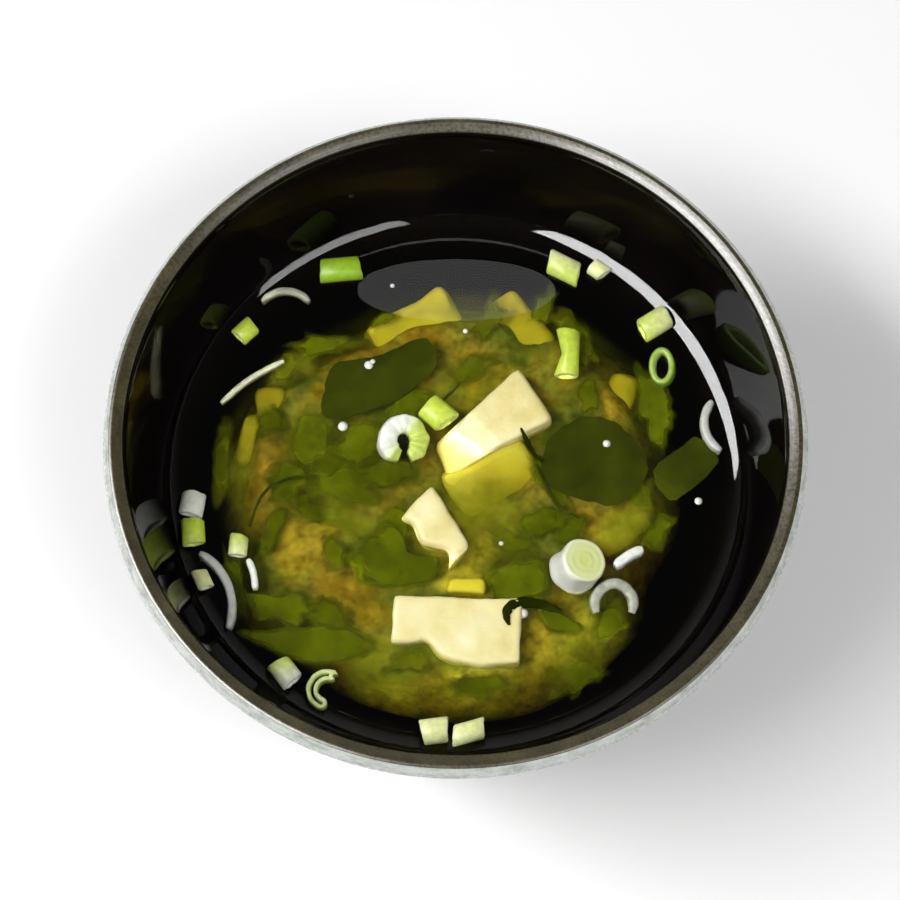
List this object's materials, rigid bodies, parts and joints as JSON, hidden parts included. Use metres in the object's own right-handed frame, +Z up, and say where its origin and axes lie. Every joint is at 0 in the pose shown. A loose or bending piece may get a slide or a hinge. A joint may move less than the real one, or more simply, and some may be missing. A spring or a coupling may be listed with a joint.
{
  "type": "miso soup in a bowl",
  "caption": "Clear miso soup in a black lacquered footed bowl, with tofu, wakame leaves and cut scallion floating in it.",
  "frame": {"origin": "centre of the foot's resting plane", "axes": "+Z up along the bowl's axis, -Y towards the front that the picture was taken from, +X to its right"},
  "size_m": [0.122, 0.122, 0.062],
  "materials": {
    "lacquer": "near-black gloss lacquer, with a dark olive-brown lip",
    "soup": "clear, still soup over olive miso haze",
    "tofu": "soft, moist and cream-coloured",
    "wakame": "wet dark green leaf",
    "scallion_green": "fresh cut green tube",
    "scallion_white": "pale cut stem"
  },
  "bodies": {
    "root": {"bowl": "lacquer", "soup": "soup", "tofu_back": "tofu", "tofu_middle": "tofu", "tofu_front": "tofu", "tofu_bit": "tofu", "wakame_left": "wakame", "wakame_right": "wakame", "wakame_strip": "wakame", "wakame_front": "wakame", "wakame_centre": "wakame", "scallion_tube_01": "scallion_green", "scallion_tube_02": "scallion_green", "scallion_tube_03": "scallion_white", "scallion_tube_04": "scallion_white", "scallion_tube_05": "scallion_white", "scallion_tube_06": "scallion_green", "scallion_tube_07": "scallion_green", "scallion_tube_08": "scallion_white", "scallion_tube_09": "scallion_white", "scallion_tube_10": "scallion_white", "scallion_tube_11": "scallion_green", "scallion_tube_12": "scallion_white", "scallion_tube_13": "scallion_white", "scallion_tube_14": "scallion_white", "scallion_slice_01": "scallion_white", "scallion_slice_02": "scallion_green", "scallion_slice_03": "scallion_white", "scallion_slice_04": "scallion_white", "scallion_slice_05": "scallion_white", "scallion_slice_06": "scallion_white", "scallion_slice_07": "scallion_green", "scallion_slice_08": "scallion_white", "scallion_slice_09": "scallion_white", "scallion_slice_10": "scallion_white", "scallion_root": "scallion_white"}
  },
  "joints": []
}
